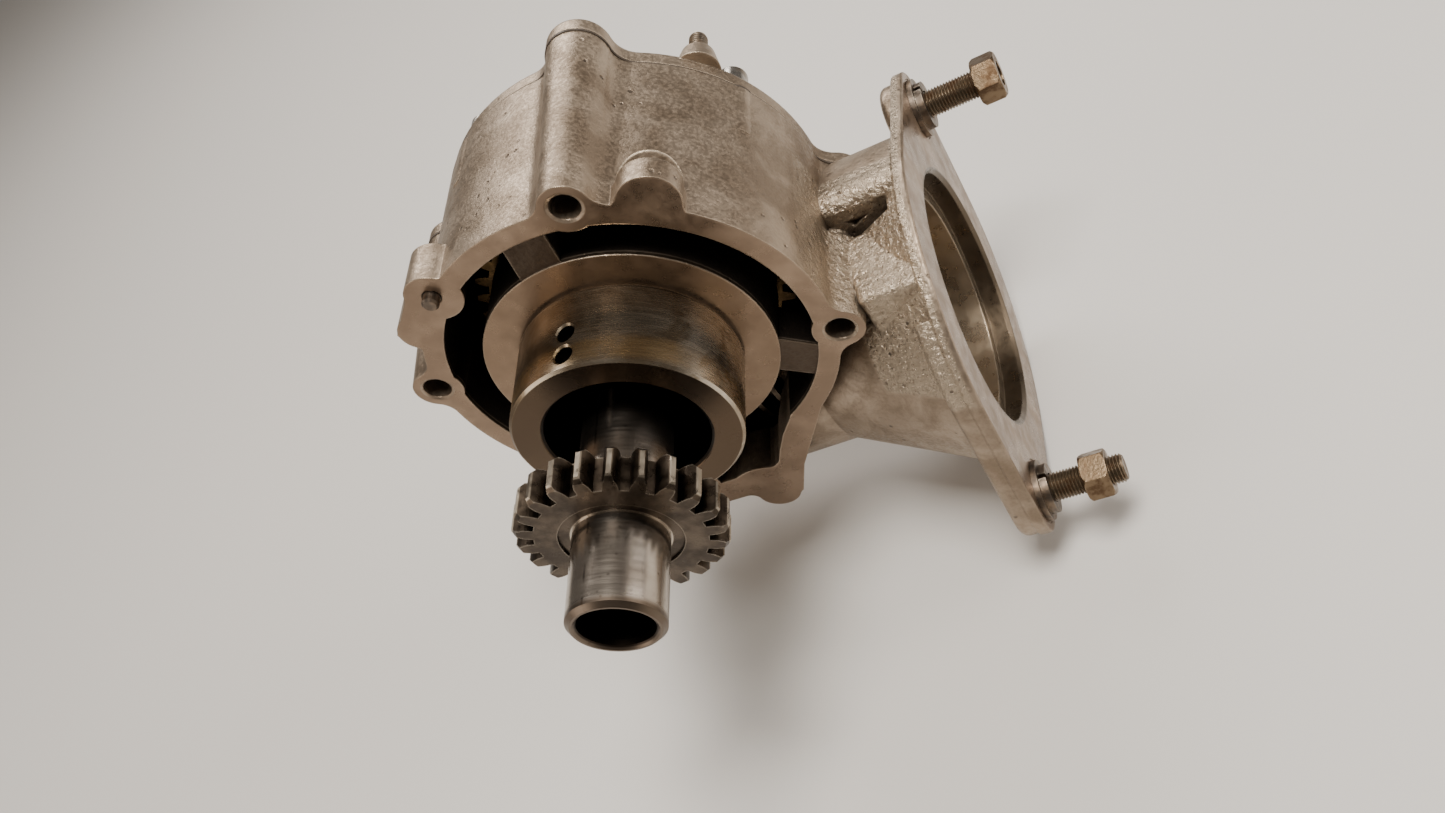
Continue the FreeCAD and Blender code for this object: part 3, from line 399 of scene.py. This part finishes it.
def ground_steel():
    """Sleeve steel: a golden band near the rim, darker over one side, and a pale patch that is a painted
    highlight along it.
    """
    g = Graph("ground_steel")
    lines = g.noise(0.6 * MM, 2.0, vector=g.scaled(0.06, 1.0, 0.06))
    blotch = g.noise(16 * MM, 5.0, 0.62, warp=1.0)
    round_y = g.angle(g.x, g.z)
    from_axis = g.radius(g.x, g.z)
    outer = g.ramp(from_axis, SLEEVE_RADIUS - 1.2 * MM, SLEEVE_RADIUS - 0.8 * MM)
    rim = g.both(g.outside(outer), g.ramp(g.y, SLEEVE_RIM + 0.4 * MM, SLEEVE_RIM + 0.2 * MM))
    bore = g.both(g.ramp(from_axis, SLEEVE_RADIUS - 1.1 * MM, SLEEVE_RADIUS - 1.6 * MM), g.outside(rim))
    # Darker over the side at 88 to 180 degrees round the axis, in blotches.
    left = g.both(g.ramp(round_y, math.radians(88), math.radians(140)), g.ramp(blotch, 0.30, 0.55))
    # Painted highlight: a pale stripe at 14 degrees round the axis.
    pale = g.both(g.near(round_y, math.radians(14), 0.16, 0.24), g.ramp(blotch, 0.66, 0.50))
    gold = g.both(g.near(g.y, SLEEVE_RIM + 5.5 * MM, 2.2 * MM, 3.0 * MM), g.ramp(blotch, 0.25, 0.50))
    worn = g.ramp(g.edges(1.2 * MM), 0.42, 0.62)
    deep = g.ramp(g.crevice(8 * MM), 0.4, 0.9)
    color = g.mix(g.ramp(blotch, 0.4, 0.65), (0.36, 0.305, 0.235), (0.235, 0.180, 0.120))
    color = g.mix(g.both(left, 0.85), color, (0.105, 0.070, 0.038))
    color = g.mix(g.both(gold, 0.65), color, (0.46, 0.325, 0.170))
    # Painted highlight on the pale stripe.
    color = g.mix(g.both(pale, 0.75), color, (0.60, 0.545, 0.460))
    # Painted shade: everything inside the outer surface, rim face and bore, is painted dark.
    color = g.mix(outer, (0.075, 0.052, 0.034), color)
    # Painted shade on the rim face.
    color = g.mix(rim, color, (0.085, 0.058, 0.037))
    # Sleeve bore painted near black: painted shade.
    color = g.mix(g.both(bore, 0.93), color, OIL_AND_SHADE_BLACK)
    # Painted shade darkens the crevices.
    color = g.mix(g.both(deep, 0.8), color, (0.03, 0.022, 0.016))
    color = g.mix(g.both(worn, 0.8), color, (0.78, 0.70, 0.57))
    ground = g.ramp(lines, 0.3, 0.7, 0.25, 0.29)
    g.bump(lines, 0.01, 0.1 * MM)
    return g.finish(color, g.math("ADD", ground, g.both(g.either(left, bore), 0.12)))


def shaft_steel():
    """Polished nose with a dark brown end, fine pits and one long scratch; painted shade, near black, in its
    bore and inside the sleeve.
    """
    g = Graph("shaft_steel")
    lines = g.noise(0.5 * MM, 2.0, vector=g.scaled(0.05, 1.0, 0.05))
    pits = g.ramp(g.cells(3.5 * MM), 0.16, 0.08)
    end = g.ramp(g.y, NOSE_END + 4.0 * MM, NOSE_END + 1.8 * MM)
    # Nose bore: painted shade.
    bore = g.ramp(g.radius(g.x, g.z), NOSE_BORE + 0.6 * MM, NOSE_BORE + 0.2 * MM)
    # Shaft inside the sleeve: painted shade.
    hidden = g.ramp(g.y, -34 * MM, -24 * MM)
    line = g.near(g.angle(g.x, g.z), math.radians(96), 0.016, 0.020)
    scratch = g.both(line, g.ramp(g.noise(4 * MM, 3.0), 0.40, 0.55))
    color = g.mix(g.ramp(g.noise(12 * MM, 4.0), 0.45, 0.7), (0.46, 0.41, 0.355), (0.36, 0.31, 0.26))
    color = g.mix(g.both(scratch, 0.7), color, (0.10, 0.080, 0.060))
    color = g.mix(g.both(pits, 0.5), color, (0.12, 0.09, 0.07))
    # The last few millimetres of the nose are painted dark brown.
    color = g.mix(g.both(end, 0.85), color, (0.085, 0.058, 0.038))
    # Bore and the shaft inside the sleeve painted near black: painted shade.
    color = g.mix(g.both(g.either(bore, hidden), 0.9), color, SHADE_DARK)
    polish = g.ramp(lines, 0.3, 0.7, 0.19, 0.25)
    g.bump(lines, 0.02, 0.1 * MM)
    return g.finish(color, g.math("ADD", polish, g.both(end, 0.15)))


def gear_steel():
    """Oily gear steel, bright on the tooth lands and edges."""
    g = Graph("gear_steel")
    tip = g.ramp(g.radius(g.x, g.z), TIP_RADIUS - 0.6 * MM, TIP_RADIUS - 0.3 * MM)
    land = g.both(tip, g.ramp(g.y, -45 * MM, -50 * MM))
    worn = g.ramp(g.edges(0.9 * MM), 0.40, 0.60)
    grime = g.ramp(g.noise(10 * MM, 5.0, 0.62), 0.36, 0.62)
    deep = g.ramp(g.crevice(6 * MM), 0.30, 0.75)
    color = g.mix(grime, (0.100, 0.077, 0.057), (0.045, 0.034, 0.025))
    # Painted shade darkens the crevices between the teeth.
    color = g.mix(g.both(deep, 0.85), color, SHADE_DARK)
    color = g.mix(g.both(land, 0.8), color, (0.40, 0.345, 0.275))
    color = g.mix(g.both(worn, 0.7), color, (0.56, 0.49, 0.40))
    g.bump(g.noise(0.8 * MM, 3.0), 0.2, 0.15 * MM)
    return g.finish(color, g.ramp(g.noise(3 * MM, 4.0), 0.3, 0.7, 0.24, 0.44))


def dark_steel():
    """Blackened steel, lighter on its corners."""
    g = Graph("dark_steel")
    worn = g.ramp(g.edges(1.0 * MM), 0.42, 0.62)
    color = g.mix(g.ramp(g.noise(4 * MM, 4.0), 0.4, 0.7), (0.13, 0.105, 0.085), (0.24, 0.18, 0.13))
    color = g.mix(g.both(worn, 0.6), color, (0.5, 0.44, 0.36))
    g.bump(g.noise(0.7 * MM, 3.0), 0.3, 0.15 * MM)
    return g.finish(color, g.ramp(g.noise(3 * MM, 4.0), 0.3, 0.7, 0.32, 0.55))


def rusty_steel():
    """Brown oiled stud steel, rubbed bright on the thread crests."""
    g = Graph("rusty_steel", metallic=0.85)
    rust = g.ramp(g.noise(4 * MM, 6.0, 0.65), 0.45, 0.68)
    worn = g.ramp(g.edges(0.5 * MM), 0.40, 0.60)
    color = g.mix(rust, (0.165, 0.125, 0.085), (0.110, 0.060, 0.030))
    color = g.mix(g.both(worn, 0.6), color, (0.46, 0.36, 0.25))
    g.bump(g.noise(0.7 * MM, 4.0, 0.65), 0.3, 0.15 * MM)
    return g.finish(color, g.ramp(rust, 0.0, 1.0, 0.36, 0.62))


def plated_nut():
    """Yellowed plating, brown in patches and bright on the points."""
    g = Graph("worn_plated_steel", metallic=0.95)
    g.soften(0.4 * MM)
    rust = g.ramp(g.noise(5 * MM, 6.0, 0.65), 0.42, 0.66)
    worn = g.ramp(g.edges(1.3 * MM), 0.40, 0.60)
    color = g.mix(rust, (0.200, 0.142, 0.088), (0.105, 0.062, 0.034))
    color = g.mix(g.both(worn, 0.65), color, (0.56, 0.44, 0.30))
    g.bump(g.noise(0.9 * MM, 4.0), 0.3, 0.2 * MM)
    return g.finish(color, g.ramp(rust, 0.0, 1.0, 0.28, 0.52))


def plated_steel():
    """Dull grey plating."""
    g = Graph("plated_steel")
    color = g.mix(g.ramp(g.noise(6 * MM, 5.0), 0.42, 0.66), (0.45, 0.43, 0.40), (0.26, 0.22, 0.18))
    g.bump(g.noise(0.8 * MM, 3.0), 0.15, 0.15 * MM)
    return g.finish(color, g.ramp(g.noise(3 * MM, 4.0), 0.3, 0.7, 0.25, 0.42))


def bronze():
    """Bronze under black gear oil."""
    g = Graph("bronze")
    color = g.mix(g.ramp(g.noise(8 * MM, 5.0), 0.42, 0.66), (0.085, 0.052, 0.022), (0.035, 0.022, 0.012))
    g.bump(g.noise(0.8 * MM, 3.0), 0.15, 0.15 * MM)
    return g.finish(color, g.ramp(g.noise(3 * MM, 4.0), 0.3, 0.7, 0.22, 0.4))


def bearing_steel():
    """Polished races and balls under a thin film of oil."""
    g = Graph("bearing_steel")
    color = g.mix(g.ramp(g.noise(10 * MM, 4.0), 0.5, 0.7), (0.62, 0.61, 0.59), (0.42, 0.39, 0.35))
    return g.finish(color, g.ramp(g.noise(2 * MM, 3.0), 0.3, 0.7, 0.08, 0.18))


def gasket_paper():
    """Oil-soaked paper."""
    g = Graph("gasket_paper", metallic=0.0)
    color = g.mix(g.noise(2 * MM, 4.0), (0.030, 0.024, 0.018), (0.075, 0.055, 0.04))
    g.bump(g.noise(0.6 * MM, 3.0), 0.4, 0.2 * MM)
    return g.finish(color, g.ramp(g.noise(4 * MM, 3.0), 0.3, 0.7, 0.35, 0.8))


SLOT_LOOKS = {
    "cast_aluminium": cast_aluminium,
    "ground_steel": ground_steel,
    "gear_steel": gear_steel,
    "dark_steel": dark_steel,
    "rusty_steel": rusty_steel,
    "worn_plated_steel": plated_nut,
    "plated_steel": plated_steel,
    "bronze": bronze,
    "bearing_steel": bearing_steel,
    "cage_steel": plated_steel,
    "gasket_paper": gasket_paper,
}


SLOTS = {part["node"]: part["material_slot"] for part in frame["record"]["subparts"]}
LOOKS = {}


def paint(thing, material):
    thing.data.materials.clear()
    thing.data.materials.append(material)


def paint_nodes():
    """Gives each CAD node its slot's material, made once; the shaft has one of its own."""
    for name, thing in NODES.items():
        look = shaft_steel if name == "output_shaft" else SLOT_LOOKS[SLOTS[name]]
        if look not in LOOKS:
            LOOKS[look] = look()
        paint(thing, LOOKS[look])


# --- threads ------------------------------------------------------------------------------------------


def thread_radius(along, turn, major, pitch):
    """Radius of a 60 degree thread at a station along the rod and an angle round it."""
    depth = 0.62 * pitch
    phase = (along / pitch - turn / (2 * math.pi)) % 1
    from_crest = abs(2 * phase - 1)
    return major - depth * min(max(from_crest * 1.25 - 0.125, 0), 1)


def add_thread(mesh, to_place, start, end, major, pitch, limit):
    """Adds one threaded rod; limit(along) caps its radius, so that it fits its holes."""
    chamfer = 0.9 * MM
    rows = int((end - start) / pitch * ROWS_PER_TURN)
    rings = []
    for row in range(rows + 1):
        along = start + (end - start) * row / rows
        from_end = min(along - start, end - along)
        cap = min(limit(along), major - chamfer + from_end)
        ring = []
        for n in range(THREAD_SIDES):
            turn = 2 * math.pi * n / THREAD_SIDES
            radius = min(thread_radius(along, turn, major, pitch), cap)
            at = to_place(along, radius * math.cos(turn), radius * math.sin(turn))
            ring.append(mesh.verts.new(at))
        rings.append(ring)
    for low, high in zip(rings, rings[1:]):
        for n in range(THREAD_SIDES):
            m = (n + 1) % THREAD_SIDES
            mesh.faces.new((low[n], low[m], high[m], high[n]))
    mesh.faces.new(rings[0])
    mesh.faces.new(rings[-1])


def finish_piece(name, mesh, node):
    """Turns a bmesh into the piece that stands for a CAD node on the housing."""
    bmesh.ops.recalc_face_normals(mesh, faces=mesh.faces)
    data = bpy.data.meshes.new(name)
    mesh.to_mesh(data)
    mesh.free()
    thing = bpy.data.objects.new(name, data)
    bpy.context.scene.collection.objects.link(thing)
    slot = SLOTS[node]
    thing.data.materials.append(LOOKS[SLOT_LOOKS[slot]])
    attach(thing, "housing_body")
    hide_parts(node)


def make_port_studs():
    """The two port studs, threaded all along, thinned where a nut or the ear grips them."""
    low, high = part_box("port_studs")
    nut_low, nut_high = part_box("port_nuts")
    grip = STUD_RADIUS - 0.35 * MM
    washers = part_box("port_lock_washers")[1].x
    mesh = bmesh.new()
    for y, z, nut in (
        (low.y + STUD_RADIUS, low.z + STUD_RADIUS, nut_low.x),
        (high.y - STUD_RADIUS, high.z - STUD_RADIUS, nut_high.x - PORT_NUT_HEIGHT),
    ):

        def limit(along, nut=nut):
            gripped = along < washers or nut < along < nut + PORT_NUT_HEIGHT
            return grip if gripped else STUD_RADIUS

        def place(along, a, b, y=y, z=z):
            return (along, y + a, z + b)

        add_thread(mesh, place, low.x, high.x, STUD_RADIUS, PORT_THREAD_PITCH, limit)
    finish_piece("port_stud_threads", mesh, "port_studs")


def make_cover_stud():
    """The small stud on the rear cover, threaded all along."""
    low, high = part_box("cover_stud")
    radius = (high.x - low.x) / 2
    x, z = (low.x + high.x) / 2, (low.z + high.z) / 2

    def limit(along):
        return radius

    def place(along, a, b):
        return (x + b, along, z + a)

    mesh = bmesh.new()
    add_thread(mesh, place, low.y, high.y, radius, COVER_THREAD_PITCH, limit)
    finish_piece("cover_stud_thread", mesh, "cover_stud")


# --- floor, light and camera --------------------------------------------------------------------------


def make_floor():
    """Plain pale floor under the lowest point."""
    mesh = bpy.data.meshes.new("floor")
    half = 3.0
    corners = [(-half, -half, FLOOR), (half, -half, FLOOR), (half, half, FLOOR), (-half, half, FLOOR)]
    mesh.from_pydata(corners, [], [(0, 1, 2, 3)])
    floor = bpy.data.objects.new("floor", mesh)
    bpy.context.scene.collection.objects.link(floor)
    g = Graph("floor", metallic=0.0, roughness=0.6, color=(0.72, 0.70, 0.67))
    paint(floor, g.material)


def area_light(name, at, size, power, color):
    """Soft light that points at the gearbox."""
    data = bpy.data.lights.new(name, "AREA")
    data.shape = "RECTANGLE"
    data.size, data.size_y = size
    data.energy = power
    data.color = color
    lamp = bpy.data.objects.new(name, data)
    lamp.location = at
    lamp.rotation_euler = (-Vector(at)).to_track_quat("-Z", "Y").to_euler()
    bpy.context.scene.collection.objects.link(lamp)


def make_lights():
    area_light("key", (0.22, -0.10, 0.95), (0.45, 0.35), 13, (1.0, 0.95, 0.88))
    area_light("fill", (-0.9, -0.7, 0.45), (0.9, 0.6), 5, (1.0, 0.90, 0.80))
    area_light("back", (-0.3, 0.95, 0.75), (0.9, 0.4), 9, (1.0, 0.95, 0.90))
    area_light("side", (1.1, 0.2, 0.35), (0.5, 0.8), 6, (1.0, 0.93, 0.86))
    world = bpy.data.worlds.new("studio")
    bpy.context.scene.world = world
    world.use_nodes = True
    background = world.node_tree.nodes["Background"]
    background.inputs["Color"].default_value = (0.42, 0.38, 0.34, 1)
    background.inputs["Strength"].default_value = 0.38


def make_camera():
    """Camera at the object's three-quarter view from the front and above, rolled to the left."""
    data = bpy.data.cameras.new("camera")
    data.lens = CAMERA_LENS
    data.sensor_width = 36
    data.clip_start = 0.01
    camera = bpy.data.objects.new("camera", data)
    heading, down = math.radians(CAMERA_HEADING), math.radians(CAMERA_DOWN)
    look = Vector((-math.sin(heading) * math.cos(down), math.cos(heading) * math.cos(down), -math.sin(down)))
    turn = look.to_track_quat("-Z", "Y").to_matrix() @ Matrix.Rotation(math.radians(CAMERA_ROLL), 3, "Z")
    camera.matrix_world = Matrix.Translation(CAMERA_AT) @ turn.to_4x4()
    bpy.context.scene.collection.objects.link(camera)
    bpy.context.scene.camera = camera


paint_nodes()
make_port_studs()
make_cover_stud()
make_floor()
make_lights()
make_camera()
